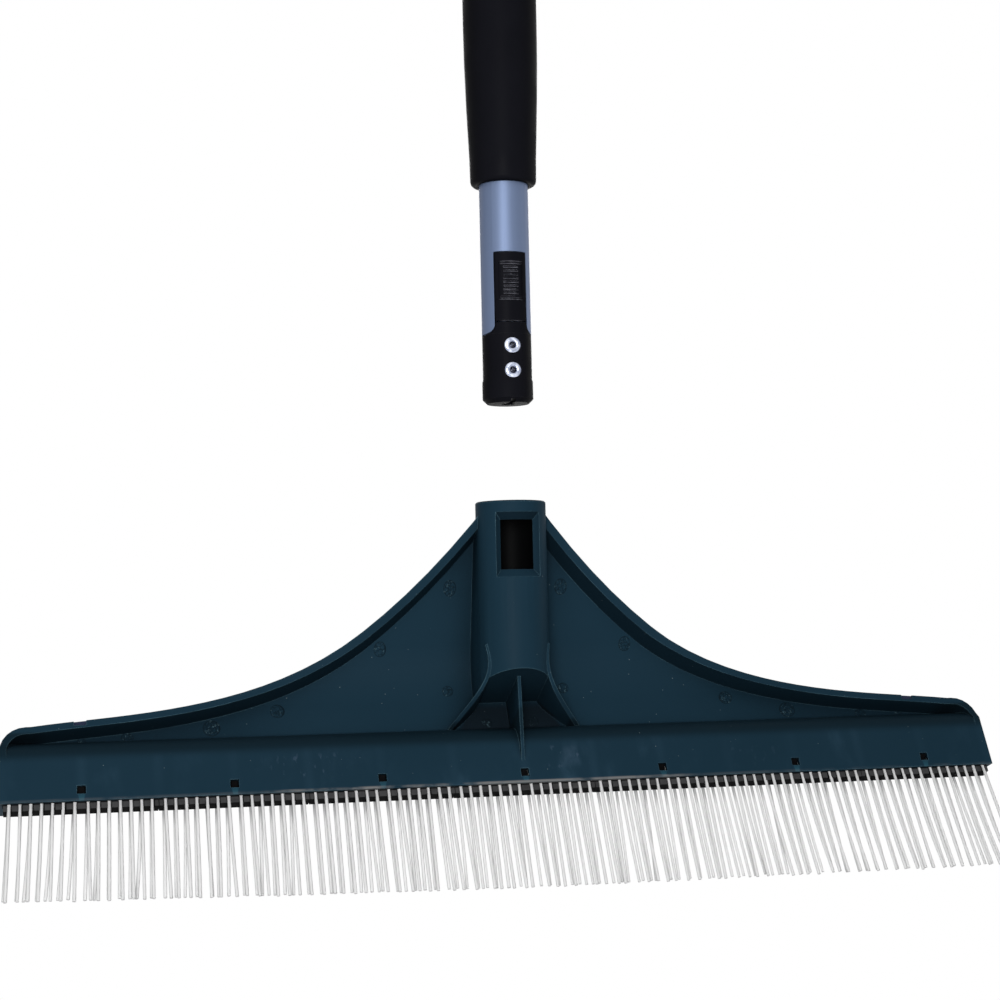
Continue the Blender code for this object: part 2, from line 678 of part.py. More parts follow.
def connector(grip, material):
    flange, body = CONNECTOR_FLANGE / 2, TUBE / 2
    drain, inside = CONNECTOR_DRAIN / 2, CONNECTOR_BORE_RADIUS
    profile = [
        (drain, 0), (flange - CONNECTOR_CHAMFER, 0), (flange, CONNECTOR_CHAMFER), (flange, FLANGE_LENGTH),
        (body, FLANGE_LENGTH + FLANGE_TAPER * (flange - body)), (body, SHOULDER), (inside, SHOULDER),
        (inside, CONNECTOR_FLOOR), (drain, CONNECTOR_FLOOR),
    ]
    piece = place(turned(profile), "pole_connector", grip, material)
    outline = tongue_outline(0.0, SHOULDER - TONGUE_ROOT, HINGE - HINGE_GAP / 2)
    combine(piece, "UNION", wall_piece("add_tongue_root", grip, outline, TONGUE_INNER, TONGUE_OUTER))
    notch = block((-CONNECTOR_NOTCH / 2, -flange - CLEAR, -CLEAR), (CONNECTOR_NOTCH / 2, 0, CONNECTOR_FLOOR / 3))
    combine(piece, "DIFFERENCE", place(notch, "cut_connector_notch", grip))
    holes = cross_holes("cut_rivet_holes", grip, RIVET_SHANK / 2 + GAP, -flange - CLEAR, flange + CLEAR)
    combine(piece, "DIFFERENCE", holes)
    seat = RIVET_HEAD / 2 + LATCH_GAP
    combine(piece, "DIFFERENCE", cross_holes("cut_front_seats", grip, seat, -flange - CLEAR, -RIVET_SEAT))
    combine(piece, "DIFFERENCE", cross_holes("cut_back_seats", grip, seat, RIVET_SEAT, flange + CLEAR))


def latch_tongue(grip, material):
    """The spring tongue above the hinge, with a ridged thumb pad. Its origin is on the hinge."""
    half = TONGUE_WIDTH / 2
    foot = HINGE + HINGE_GAP / 2
    strip = [(-half, foot), (half, foot), (half, PAD_TOP), (-half, PAD_TOP)]
    guide = wall_piece("guide_tongue", grip, strip, TONGUE_INNER, TONGUE_OUTER)
    pad = [(-half, PAD_FOOT), (half, PAD_FOOT), (half, PAD_TOP), (-half, PAD_TOP)]
    combine(guide, "UNION", wall_piece("add_pad", grip, pad, TONGUE_INNER + GAP, PAD_OUTER))
    wide = PAD_RECESS_WIDTH / 2
    low, high = PAD_FOOT + LATCH_GAP, PAD_TOP - PAD_RECESS_MARGIN
    hollow = [(-wide, low), (wide, low), (wide, high), (-wide, high)]
    floor = PAD_OUTER - PAD_RECESS_DEPTH
    combine(guide, "DIFFERENCE", wall_piece("cut_pad_recess", grip, hollow, floor, 2 * PAD_OUTER))
    ridges = bmesh.new()
    step = (high - low) / (PAD_RIDGES + 2)
    for number in range(PAD_RIDGES + 2):
        end_bar = number in (0, PAD_RIDGES + 1)
        reach = (PAD_BAR_WIDTH if end_bar else PAD_RIDGE_WIDTH) / 2
        crest = PAD_OUTER if end_bar else PAD_OUTER - PAD_RECESS_DEPTH / 2
        edge = math.sqrt(crest ** 2 - reach ** 2)
        across = [(-reach, PAD_RECESS_DEPTH - edge), (-reach, -edge), (0, -crest), (reach, -edge),
                  (reach, PAD_RECESS_DEPTH - edge)]
        middle = low + (number + 0.5) * step
        prism(across, "Z", middle - step / 5, middle + step / 5, ridges)
    combine(guide, "UNION", place(ridges, "add_pad_ridges", grip))
    mesh = settled(guide)
    hinge = (0.0, -(TONGUE_INNER + TONGUE_OUTER) / 2, HINGE)
    mesh.transform(Matrix.Translation([-value for value in hinge]))
    mesh.materials.append(material)
    tongue = bpy.data.objects.new("latch_tongue", mesh)
    tongue.parent = grip
    tongue.location = hinge
    bpy.context.scene.collection.objects.link(tongue)


def rivet(name, height, grip, material):
    """A tubular rivet through the connector and the tube's neck, along Y."""
    hole, shank, head = RIVET_HOLE / 2, RIVET_SHANK / 2, RIVET_HEAD / 2
    face, under = TUBE / 2, RIVET_SEAT + GAP
    edge = (face + under) / 2
    half = [(hole, face), (head * 0.72, face), (head, edge), (head, under), (shank, under)]
    profile = half + [(r, -y) for r, y in reversed(half)]
    piece = place(along_y(turned(profile, SMALL_SIDES)), name, grip, material)
    piece.location.z = height


# Tubes

def lower_tube(grip, material):
    """The inner tube, drawn down to a neck inside the connector and slotted for the tongue."""
    outside, inside = TUBE / 2, TUBE / 2 - TUBE_WALL
    neck_outside, neck_inside = NECK_RADIUS, NECK_RADIUS - NECK_WALL
    foot, shoulder = CONNECTOR_FLOOR + GAP, SHOULDER + GAP
    profile = [
        (neck_inside, foot), (neck_outside, foot), (neck_outside, shoulder), (outside, shoulder),
        (outside, LOWER_TUBE_TOP), (inside, LOWER_TUBE_TOP), (inside, shoulder + 2 * TUBE_WALL),
        (neck_inside, shoulder + TUBE_WALL),
    ]
    tube = place(turned(profile), "lower_tube", grip, material)
    outline = tongue_outline(SLOT_GAP, SHOULDER - TONGUE_ROOT, PAD_TOP + LATCH_GAP)
    slot = prism(outline, "Y", -outside - CLEAR, -RIVET_HOLE / 2)
    combine(tube, "DIFFERENCE", place(slot, "cut_tongue_slot", grip))
    combine(tube, "DIFFERENCE", cross_holes("cut_neck_holes", grip, RIVET_SHANK / 2 + GAP, -outside, outside))


def guide_bush(grip, material):
    """The plug on the lower tube's upper end, which slides inside the upper tube."""
    plug = TUBE / 2 - TUBE_WALL - GAP
    flange = TUBE / 2 + GAP / 2
    hole = plug - BUSH_WALL
    foot, seat, top = LOWER_TUBE_TOP - BUSH_LENGTH, LOWER_TUBE_TOP + GAP, LOWER_TUBE_TOP + BUSH_FLANGE
    profile = [(hole, foot), (plug, foot), (plug, seat), (flange, seat), (flange, top), (hole, top)]
    place(turned(profile), "guide_bush", grip, material)


def upper_tube(pole, material):
    outside = UPPER_TUBE / 2
    profile = [
        (outside - TUBE_WALL, UPPER_TUBE_FOOT), (outside, UPPER_TUBE_FOOT), (outside, UPPER_TUBE_TOP),
        (outside - TUBE_WALL, UPPER_TUBE_TOP),
    ]
    place(turned(profile), "upper_tube", pole, material)


# Twist lock

def clamp_body(pole, material):
    """The split clamp on the upper tube's lower end: fingers round the lower tube, a sleeve and a flange."""
    finger_bore, sleeve_bore = TUBE / 2 + GAP, UPPER_TUBE / 2 + GAP
    foot = COLLAR_FOOT + COLLAR_LIP + GAP
    tube_end = UPPER_TUBE_FOOT - GAP
    top = COLLAR_FOOT + COLLAR_LENGTH + GAP
    edge, brim = CLAMP_WALL, COLLAR_HIGH / 2
    finger, sleeve = FINGER_RADIUS, SLEEVE_RADIUS
    profile = [
        (finger_bore, foot), (finger - FINGER_WALL / 2, foot), (finger, foot + CLAMP_FINGERS), (sleeve, tube_end),
        (sleeve, top), (brim, top), (brim, top + CLAMP_FLANGE - edge), (brim - edge, top + CLAMP_FLANGE),
        (sleeve_bore, top + CLAMP_FLANGE), (sleeve_bore, tube_end), (finger_bore, tube_end),
    ]
    piece = place(turned(profile), "clamp_body", pole, material)
    slits = bmesh.new()
    half, slit_top = CLAMP_SLIT / 2, foot + CLAMP_SLIT_LENGTH
    for number in range(CLAMP_SLITS):
        slit = block((-half, 0, foot - CLEAR), (half, sleeve + CLEAR, slit_top))
        turn = Matrix.Rotation(2 * math.pi * number / CLAMP_SLITS, 3, "Z")
        bmesh.ops.rotate(slit, verts=slit.verts, matrix=turn)
        mesh = bpy.data.meshes.new("slit")
        slit.to_mesh(mesh)
        slit.free()
        slits.from_mesh(mesh)
        bpy.data.meshes.remove(mesh)
    combine(piece, "DIFFERENCE", place(slits, "cut_clamp_slits", pole))


def lock_collar(pole, material):
    """The twist collar, which narrows at its lower end to close the clamp's fingers."""
    low, high = COLLAR_LOW / 2, COLLAR_HIGH / 2
    finger, sleeve, lip = FINGER_RADIUS + GAP, SLEEVE_RADIUS + GAP, TUBE / 2 + COLLAR_TURN_GAP
    fingers_top = COLLAR_LIP + GAP + CLAMP_FINGERS
    sleeve_foot = UPPER_TUBE_RISE - GAP
    outer = arc((low - COLLAR_ROUND, COLLAR_ROUND), (COLLAR_ROUND, COLLAR_ROUND), 270, 360, 3)
    outer += [(low + share * (high - low), height) for height, share in COLLAR_FLARE]
    outer += [(high, COLLAR_LENGTH - COLLAR_BRIM), (high - COLLAR_BRIM, COLLAR_LENGTH)]
    inner = [
        (sleeve, COLLAR_LENGTH), (sleeve, sleeve_foot), (finger, fingers_top), (finger, COLLAR_LIP),
        (lip, COLLAR_LIP), (lip, 0),
    ]
    collar = place(turned(outer + inner), "lock_collar", pole, material)
    collar.location.z = COLLAR_FOOT


# Grip and end cap

def hand_grip(pole, material):
    """A foam sleeve with rounded ends and a slight swell."""
    bore = UPPER_TUBE / 2 + GAP
    outside = bore + GRIP_THICKNESS
    top = UPPER_TUBE_TOP - CAP_SKIRT - GRIP_TO_CAP
    foot = top - GRIP_LENGTH
    outer = [(bore, foot), (outside - GRIP_ROUND, foot), (outside, foot + GRIP_ROUND)]
    for step in range(1, ARC_STEPS):
        swell = GRIP_SWELL * math.sin(math.pi * step / ARC_STEPS)
        outer.append((outside + swell, foot + GRIP_LENGTH * step / ARC_STEPS))
    outer += [(outside, top - GRIP_ROUND), (outside - GRIP_ROUND, top), (bore, top)]
    place(turned(outer), "hand_grip", pole, material)


def end_cap(pole, material):
    """A cap over the tube's upper end, with a flat tab for hanging."""
    bore = UPPER_TUBE / 2 + GAP
    outside = bore + CAP_WALL
    foot = UPPER_TUBE_TOP - CAP_SKIRT
    roof = UPPER_TUBE_TOP + GAP
    top = roof + CAP_TOP
    profile = [
        (bore, foot), (outside, foot), (outside, top - CAP_CHAMFER), (outside - CAP_CHAMFER, top), (0, top),
        (0, roof), (bore, roof),
    ]
    cap = place(turned(profile), "end_cap", pole, material)
    half = TAB_WIDTH / 2
    tab = [(-half, roof + CAP_TOP / 2), (half, roof + CAP_TOP / 2)]
    tab += arc((0, HANG_HEIGHT), (half, half), 0, 180, 2 * ARC_STEPS)
    thick = TAB_THICKNESS / 2
    combine(cap, "UNION", place(prism(tab, "Y", -thick, thick), "add_tab", pole))
    hole = round_bar((0, HANG_HEIGHT), HANG_HOLE / 2, -thick - CLEAR, thick + CLEAR, SMALL_SIDES)
    combine(cap, "DIFFERENCE", place(along_y(hole), "cut_hang_hole", pole))


def build():
    for item in list(bpy.data.objects):
        bpy.data.objects.remove(item)
    looks = finishes()
    pole = frame("pole_axis", None, -HANG_HEIGHT)
    head = frame("head_frame", frame("socket_axis", pole))
    head.rotation_euler.x = -HEAD_TILT
    head.location.y = -SOCKET_FOOT * math.cos(HEAD_TILT)
    head.location.z = SOCKET_FOOT * math.sin(HEAD_TILT)
    grip = frame("connector_axis", pole, CONNECTOR_END)
    head_shell(head, pole, looks["head"])
    comb_segments(head, looks["comb"])
    bristle_sets(head, looks["nylon"])
    connector(grip, looks["fitting"])
    latch_tongue(grip, looks["fitting"])
    for name, height in zip(("rivet_lower", "rivet_upper"), RIVETS):
        rivet(name, height, grip, looks["rivet"])
    lower_tube(grip, looks["tube"])
    guide_bush(grip, looks["clamp"])
    clamp_body(pole, looks["clamp"])
    lock_collar(pole, looks["fitting"])
    upper_tube(pole, looks["tube"])
    hand_grip(pole, looks["foam"])
    end_cap(pole, looks["fitting"])
    keep_edges_crisp()


build()
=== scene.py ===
"""Dresses the artificial grass rake: moulded head, nylon bristles, latch connector and telescopic pole."""

import json
import math

import bmesh
import bpy
import numpy as np
from mathutils import Euler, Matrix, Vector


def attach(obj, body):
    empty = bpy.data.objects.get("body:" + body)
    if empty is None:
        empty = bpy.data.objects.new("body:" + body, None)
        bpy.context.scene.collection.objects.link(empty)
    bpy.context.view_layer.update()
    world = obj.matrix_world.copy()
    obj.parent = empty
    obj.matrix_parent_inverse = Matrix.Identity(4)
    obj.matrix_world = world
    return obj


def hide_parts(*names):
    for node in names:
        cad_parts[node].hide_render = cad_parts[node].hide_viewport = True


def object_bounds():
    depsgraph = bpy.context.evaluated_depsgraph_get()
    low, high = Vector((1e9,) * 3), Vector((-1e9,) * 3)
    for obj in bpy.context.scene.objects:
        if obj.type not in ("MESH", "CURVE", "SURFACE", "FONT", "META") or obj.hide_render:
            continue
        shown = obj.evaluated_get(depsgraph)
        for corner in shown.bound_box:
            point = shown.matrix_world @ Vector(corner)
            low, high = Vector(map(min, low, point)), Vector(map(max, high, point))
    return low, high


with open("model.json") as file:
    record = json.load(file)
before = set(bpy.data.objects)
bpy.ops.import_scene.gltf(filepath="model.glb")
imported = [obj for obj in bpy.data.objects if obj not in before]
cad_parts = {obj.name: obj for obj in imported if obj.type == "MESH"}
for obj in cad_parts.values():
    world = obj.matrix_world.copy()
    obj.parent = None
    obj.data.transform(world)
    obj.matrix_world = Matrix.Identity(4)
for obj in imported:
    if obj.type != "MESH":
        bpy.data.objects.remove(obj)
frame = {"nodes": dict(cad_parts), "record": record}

CAD_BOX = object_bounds()

# The head's own frame: X along it, Y from its front face to its back, Z up from the beam's lower edge
HEAD_TILT = math.radians(28.1)
COSINE, SINE = math.cos(HEAD_TILT), math.sin(HEAD_TILT)
SOCKET_FOOT = 0.0212
SOCKET_TOP = 0.1350

# Head, as the CAD has it
HEAD_LENGTH = 0.450
BEAM_FACE = 0.020
PLATE_FLOOR = 0.0128
BEND_HEIGHT = 0.060
BEND_RADIUS = 0.040
LEAN = math.radians(39.7)
RIM_SETBACK = 0.0014
NOTCH_PLACE = 0.1915
NOTCH_FLOOR = 0.0353
NOTCH_DEPTH = 0.0007
BORE_RADIUS = 0.0119
HOOK_HEIGHT = 0.005
HOOK_WINDOW = 0.0037

# Where the head is hazy, thin, rubbed or tinted, where painted light, sheen and shade lie on it, and how
# soft the crisp borders there are
CRISP = 0.0002
FACE_DEPTH = 0.0009
FACE_STRIPE = 0.0035
RAMP_WIDTH = 0.0036
RAMP_FADE = 0.003
LIP_HEIGHT = 0.0011
LIP_DEPTH = 0.003
LIP_RUB_MIDDLE = -0.02
LIP_RUB_HALF = 0.080
LIP_RUB_END = 0.105
BROW_HEIGHT = 0.0125
NOTCH_HALF = 0.0026
PANEL_HALF = 0.043
PANEL_SLANT = 0.6
PANEL_TOP = 0.044
PANEL_FRONT = 0.0102
DEEP_FOOT = 0.0625
CAVE_REACH = 0.020

# Rubbed places on the beam's face, each as (across, height, half width, strength)
RUBBED_PATCHES = (
    (0.0205, 0.0120, 0.014, 0.13), (-0.0940, 0.0120, 0.030, 0.10), (0.1080, 0.0090, 0.020, 0.03),
)
PATCH_CORE = 0.003
PATCH_HEIGHT = 0.008

# Moulding marks on the plate, each as (across, height, radius), and the same on both sides
EJECTOR_MARKS = (
    (0.0262, 0.0912, 0.0031), (0.0580, 0.0699, 0.0030), (0.1055, 0.0445, 0.0034), (0.1349, 0.0372, 0.0040),
    (0.1714, 0.0336, 0.0029), (0.1908, 0.0330, 0.0020), (0.0273, 0.0517, 0.0027), (0.0109, 0.0354, 0.0027),
)
MARK_RISE = 0.00004
MARK_RINGS = (0.12, 0.4, 0.7, 0.92, 1.0)

# Bristles
SEGMENTS = 7
TUFTS = 14
GROUP_GAP = 1.2
SEGMENT_PITCH = 0.06381
FRONT_ROW = 0.0033
REAR_ROW = 0.0093
ROOT_HEIGHT = 0.0122
BRISTLE_REACH = 0.0438
FILAMENT = 0.0012
FILAMENT_SWELL = (1.08, 1.28)
FILAMENT_RINGS = 7
FILAMENT_SIDES = 8

# How the filaments are trimmed and lean, at places from the head's left end at -1 to its right end at 1
TRIM_PLACES = (-1.0, -0.45, 0.0, 1.0)
TRIM_LENGTHS = (-0.0045, -0.0010, 0.0012, 0.0022)
FRONT_TRIM = 0.0026
REAR_TRIM = -0.0003
TRIM_SPREAD = 0.0004
LEAN_PLACES = (-1.0, -0.7, 0.3, 0.6, 1.0)
LEAN_SHIFTS = (-0.0020, -0.0004, 0.0004, 0.0028, 0.0048)

# Each row's own lean and its spread, as (along the head, towards its back), and how bowed a filament is
FRONT_LEAN = (0.0003, -0.0004)
REAR_LEAN = (-0.0005, 0.0003)
LEAN_SPREAD = (0.0008, 0.0004)
BOW_RANGE = (0.1, 0.9)

# Rivets: heights over the connector's end, and one end's profile as (radius, distance from the pole's axis)
LOWER_RIVET = 0.01435
UPPER_RIVET = 0.02565
RIVET_PROFILE = (
    (0.00125, 0.0102), (0.00130, 0.0108), (0.0016, 0.01118), (0.0021, 0.01136), (0.0027, 0.01140),
    (0.0032, 0.01124), (0.0036, 0.01098), (0.0038, 0.01072), (0.0038, 0.01056), (0.0022, 0.01056),
)
RIVET_GROOVE = (0.00125, 0.00175)
ROUND_SIDES = 48

# Latch tongue: the half width of its thumb pad that has painted highlights, and where they end
PAD_HIGHLIGHT_HALF = 0.0030
PAD_HIGHLIGHT_END = 0.0060

# Meshes: angles past which an edge is sharp, in degrees, and limits for joined corners and flat regions
SKIN_SHARP = 30.5
RIVET_SHARP = 50
SHEET_SHARP = 60
JOIN_DISTANCE = 1e-6
FLAT_TURN = math.radians(0.6)
BROAD_FACE = 0.005
STRONG_FACE, WEAK_FACE = 16384, -16384

# Colours, as linear red, green, blue and alpha, and where there are two, the ends of a mix
TEAL = ((0.0085, 0.0270, 0.0430, 1), (0.0125, 0.0350, 0.0560, 1))
# Smears and stripes on the beam's face: real haze with painted sheen
FACE_HAZE_AND_SHEEN = (0.10, 0.20, 0.30, 1)
RUBBED_FACE = (0.20, 0.28, 0.42, 1)
# Painted light on the thin ramps under the hook windows
RAMP_PAINTED_GLOW = (0.030, 0.110, 0.150, 1)
SCUFFED_LIP = (0.19, 0.19, 0.19, 1)
# Painted shade on the beam's rounded top and on the panel between the gussets
BROW_PAINTED_SHADE = (0.0035, 0.0070, 0.0085, 1)
PANEL_PAINTED_SHADE = (0.0090, 0.0110, 0.0140, 1)
NOTCH_TINT = (0.026, 0.033, 0.066, 1)
# Edges: real wear with painted highlights
TEAL_WEAR_AND_HIGHLIGHT = (0.10, 0.20, 0.25, 1)
PALE_DUST = (0.30, 0.38, 0.40, 1)
# Painted shade in the bore, deep corners and inward walls
HOLLOW_PAINTED_SHADE = (0.0014, 0.0016, 0.0018, 1)
CRACK_SHADE = (0.003, 0.007, 0.010, 1)
CRACK_GLINT = (0.09, 0.16, 0.19, 1)
COMB_BLACK = ((0.0020, 0.0020, 0.0022, 1), (0.0060, 0.0060, 0.0065, 1))
# Grey in patches on the comb's front below the lip
COMB_FRONT_GREY = (0.060, 0.060, 0.062, 1)
CLEAR_NYLON = ((0.74, 0.74, 0.74, 1), (0.84, 0.84, 0.84, 1))
# Painted shade at the filaments' sides, then painted shadow near their roots
NYLON_PAINTED_SIDE_SHADE = (0.50, 0.50, 0.50, 1)
NYLON_PAINTED_ROOT_SHADOW = (0.20, 0.20, 0.21, 1)
ANODISED_BLUE = ((0.115, 0.158, 0.262, 1), (0.135, 0.182, 0.295, 1))
# Painted shade at the tube's turned-away sides
ANODISED_PAINTED_SIDE_SHADE = (0.055, 0.085, 0.170, 1)
FITTING_BLACK = ((0.0055, 0.0057, 0.0080, 1), (0.0078, 0.0080, 0.0110, 1))
# Painted shade at the fittings' sides, then their edges: real wear with painted highlights
FITTING_PAINTED_SIDE_SHADE = (0.0015, 0.0015, 0.0020, 1)
FITTING_WEAR_AND_HIGHLIGHT = (0.090, 0.090, 0.098, 1)
# Painted highlights on the latch pad's ribs
PAD_RIB_HIGHLIGHT = (0.42, 0.43, 0.50, 1)
PLATING = ((0.34, 0.38, 0.50, 1), (0.66, 0.70, 0.82, 1))
# Painted shade in the rivet's groove, then at its turned-away sides
PLATING_PAINTED_GROOVE_SHADE = (0.10, 0.11, 0.16, 1)
PLATING_PAINTED_SIDE_SHADE = (0.07, 0.08, 0.13, 1)
NATURAL_NYLON = ((0.50, 0.50, 0.47, 1), (0.62, 0.62, 0.59, 1))
FOAM_BLACK = ((0.004, 0.004, 0.004, 1), (0.011, 0.011, 0.012, 1))
FLOOR_GREY = (0.70, 0.70, 0.70, 1)
WHITE = (1, 1, 1, 1)

# Camera
CAMERA_PLACE = (-0.2094, -0.8422, -0.9570)
CAMERA_TURN = (93.960, 1.242, -13.570)
LENS = 68.95
SENSOR = 36.0
NEAREST = 0.01

# Stage: lamps as (name, place, turn in degrees, size, power), and light levels as (unseen, seen)
LAMPS = (
    ("key", (-0.30, -1.20, -0.84), (85, 0, -14), 0.5, 13.2),
    ("side_fill", (-1.3, -1.5, -0.80), (85, 0, -41), 0.9, 2.0),
    ("right_fill", (1.7, 0.5, -0.6), (82, 0, 106), 0.9, 3.5),
    ("back_fill", (0.6, 2.2, -0.2), (75, 0, 165), 1.5, 30.0),
)
ROOM_LEVELS = (0.10, 1.0)
FLOOR_LEVELS = (0.05, 1.0)
FLOOR_RADIUS = 2.1
FLOOR_DROP = 0.8
FLOOR_SIDES = 96


# Frame

def mount_place(name):
    """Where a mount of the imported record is."""
    return next(mount["pos_m"] for mount in frame["record"]["mounts"] if mount["name"] == name)


POLE_ZERO = mount_place("socket_mouth")[2] - SOCKET_TOP
CONNECTOR_END = mount_place("connector_end")[2]


def from_head(points):
    """Carries points from the head's own frame to the rake's: a turn at the socket's foot, then a shift."""
    x, y, z = np.moveaxis(points, -1, 0)
    y = y - SOCKET_FOOT
    return np.stack([x, y * COSINE + z * SINE, POLE_ZERO - y * SINE + z * COSINE], axis=-1)


def plate_front(height):
    """The plate's front surface: upright, a round bend, then leaning forwards. Returns Y and the slope."""
    foot = BEND_HEIGHT - BEND_RADIUS * math.tan(LEAN / 2)
    head = foot + BEND_RADIUS * math.sin(LEAN)
    turn = np.arcsin(np.clip((height - foot) / BEND_RADIUS, 0.0, math.sin(LEAN)))
    past = np.clip(height - head, 0.0, None)
    return PLATE_FLOOR - BEND_RADIUS * (1 - np.cos(turn)) - past * math.tan(LEAN), turn


# Shader helpers

def wire(tree, kind, sockets=None, **settings):
    """Adds a node. Settings are its options, and sockets are its inputs: values or other nodes' outputs."""
    made = tree.nodes.new("ShaderNode" + kind)
    for key, value in settings.items():
        setattr(made, key, value)
    for key, value in (sockets or {}).items():
        if isinstance(value, bpy.types.NodeSocket):
            tree.links.new(value, made.inputs[key])
        else:
            made.inputs[key].default_value = value
    return made


def blank(name, **values):
    """A material with the values of its Principled shader set, as (material, tree, shader)."""
    material = bpy.data.materials.new(name)
    material.use_nodes = True
    shader = material.node_tree.nodes["Principled BSDF"]
    for key, value in values.items():
        shader.inputs[key.replace("_", " ")].default_value = value
    return material, material.node_tree, shader


def paint(tree, shader, **outputs):
    """Links outputs to the shader's sockets."""
    for key, output in outputs.items():
        tree.links.new(output, shader.inputs[key.replace("_", " ")])


def object_place(tree):
    """The place of a point on its own piece."""
    return wire(tree, "TexCoord").outputs["Object"]


def facing(tree):
    """The normal before it is softened or bumped."""
    return wire(tree, "NewGeometry").outputs["Normal"]


def turned_away(tree):
    """How far the surface turns from the eye, from zero to one."""
    return wire(tree, "LayerWeight", {"Blend": 0.5}).outputs["Facing"]


def maths(tree, operation, first, second):
    return wire(tree, "Math", {0: first, 1: second}, operation=operation).outputs["Value"]


def off(tree, value, centre=0.0):
    """How far a value is from a centre."""
    return maths(tree, "ABSOLUTE", maths(tree, "SUBTRACT", value, centre), 0.0)


def both(tree, *masks):
    """The product of several masks."""
    product = masks[0]
    for mask in masks[1:]:
        product = maths(tree, "MULTIPLY", product, mask)
    return product


def most(tree, *masks):
    """The largest of several masks."""
    largest = masks[0]
    for mask in masks[1:]:
        largest = maths(tree, "MAXIMUM", largest, mask)
    return largest


def span(tree, value, low, high, start=0.0, end=1.0):
    """Maps low to high on to start to end, smoothly and within the two."""
    sockets = {"Value": value, "From Min": low, "From Max": high, "To Min": start, "To Max": end}
    return wire(tree, "MapRange", sockets, interpolation_type="SMOOTHSTEP").outputs["Result"]


def above(tree, value, limit, soft=CRISP):
    """A mask of where the value is over the limit, soft at both sides of it."""
    return span(tree, value, limit - soft, limit + soft)


def under(tree, value, limit, soft=CRISP):
    """A mask of where the value is under the limit, soft at both sides of it."""
    return span(tree, value, limit + soft, limit - soft)


def inside(tree, value, low, high, soft=CRISP):
    """A mask of where the value is from low to high, soft at both sides of each."""
    return both(tree, above(tree, value, low, soft), under(tree, value, high, soft))


def eased(tree, mask, strength):
    """A mask with its slopes eased and its top brought down to the strength."""
    return span(tree, mask, 0.0, 1.0, 0.0, strength)


def mixed(tree, factor, first, second):
    """The first colour where the factor is 0, and the second where it is 1."""
    made = wire(tree, "Mix", {0: factor, 6: first, 7: second}, data_type="RGBA")
    return made.outputs[2]


def noise(tree, place, scale, detail=2.0, stretch=(1.0, 1.0, 1.0)):
    """A cloudy value between 0 and 1. A lower stretch along an axis draws the clouds out along it."""
    spread = wire(tree, "Mapping", {"Vector": place, "Scale": stretch}).outputs["Vector"]
    return wire(tree, "TexNoise", {"Vector": spread, "Scale": scale, "Detail": detail}).outputs["Fac"]


def dot(tree, first, second):
    return wire(tree, "VectorMath", {0: first, 1: second}, operation="DOT_PRODUCT").outputs["Value"]


def length(tree, vector):
    return wire(tree, "VectorMath", {0: vector}, operation="LENGTH").outputs["Value"]


def along(tree, place, direction, shift):
    """How far a place lies along a direction, plus a shift."""
    return maths(tree, "ADD", dot(tree, place, direction), shift)


def head_place(tree, place, axes="xyz"):
    """A place in the head's own frame, along the axes asked for."""
    directions = {
        "x": ((1, 0, 0), 0.0),
        "y": ((0, COSINE, -SINE), SOCKET_FOOT + POLE_ZERO * SINE),
        "z": ((0, SINE, COSINE), -POLE_ZERO * COSINE),
    }
    return [along(tree, place, *directions[axis]) for axis in axes]


def bump(tree, height, distance, normal=None):
    """The normal of a surface raised by a height, over another normal if there is one."""
    sockets = {"Height": height, "Distance": distance, "Strength": 1.0}
    if normal:
        sockets["Normal"] = normal
    return wire(tree, "Bump", sockets).outputs["Normal"]


def softened(tree, radius):
    """The normal with its edges rounded off."""
    return wire(tree, "Bevel", {"Radius": radius}, samples=4).outputs["Normal"]


def edges(tree, soft):
    """A mask of the edges, which are where the softened normal leaves the true one."""
    return span(tree, dot(tree, soft, facing(tree)), 0.98, 0.80)


def dust_specks(tree, place, scale, share, size):
    """A mask of round specks, in a share of the cells of a cell pattern."""
    cells = wire(tree, "TexVoronoi", {"Vector": place, "Scale": scale})
    near = span(tree, cells.outputs["Distance"], size, size / 2)
    lot = wire(tree, "SeparateColor", {"Color": cells.outputs["Color"]}).outputs["Red"]
    return both(tree, near, span(tree, lot, 1.0 - share, 1.01 - share))


def where_seen(tree, unseen, seen):
    """One level for the light on other surfaces, and another for what is seen, mirrored or seen through."""
    rays = wire(tree, "LightPath").outputs
    looking = most(tree, rays["Is Camera Ray"], rays["Is Glossy Ray"], rays["Is Transmission Ray"])
    return span(tree, looking, 0.0, 1.0, unseen, seen)


# Layers of the teal plastic, each laid on a colour. The spot is a place in the head's own frame

def haze_and_painted_sheen(tree, colour, place, spot, cloud, face):
    """The beam's face: smears of haze and painted sheen, an upright painted-sheen stripe at each hook and
    between two, and rubbed patches.
    """
    x, _, z = spot
    smear = span(tree, noise(tree, place, 70.0, detail=5.0, stretch=(1.0, 1.0, 0.35)), 0.50, 0.78)
    stripe = span(tree, maths(tree, "PINGPONG", x, SEGMENT_PITCH / 4), FACE_STRIPE, 0.0)
    haze = most(tree, both(tree, smear, span(tree, cloud, 0.45, 0.65, 0.03, 0.16)),
                both(tree, stripe, span(tree, cloud, 0.3, 0.7, 0.01, 0.04)))
    colour = mixed(tree, both(tree, face, haze), colour, FACE_HAZE_AND_SHEEN)
    hairs = span(tree, noise(tree, place, 420.0, detail=4.0, stretch=(1.0, 1.0, 0.12)), 0.55, 0.75)
    streaks = most(tree, hairs, both(tree, smear, span(tree, cloud, 0.2, 0.8, 0.3, 0.8)))
    for across, height, half, strength in RUBBED_PATCHES:
        patch = both(tree, span(tree, off(tree, x, across), half, half / 3),
                     span(tree, off(tree, z, height), PATCH_HEIGHT, PATCH_CORE))
        colour = mixed(tree, eased(tree, both(tree, face, patch, streaks), strength), colour, RUBBED_FACE)
    return colour


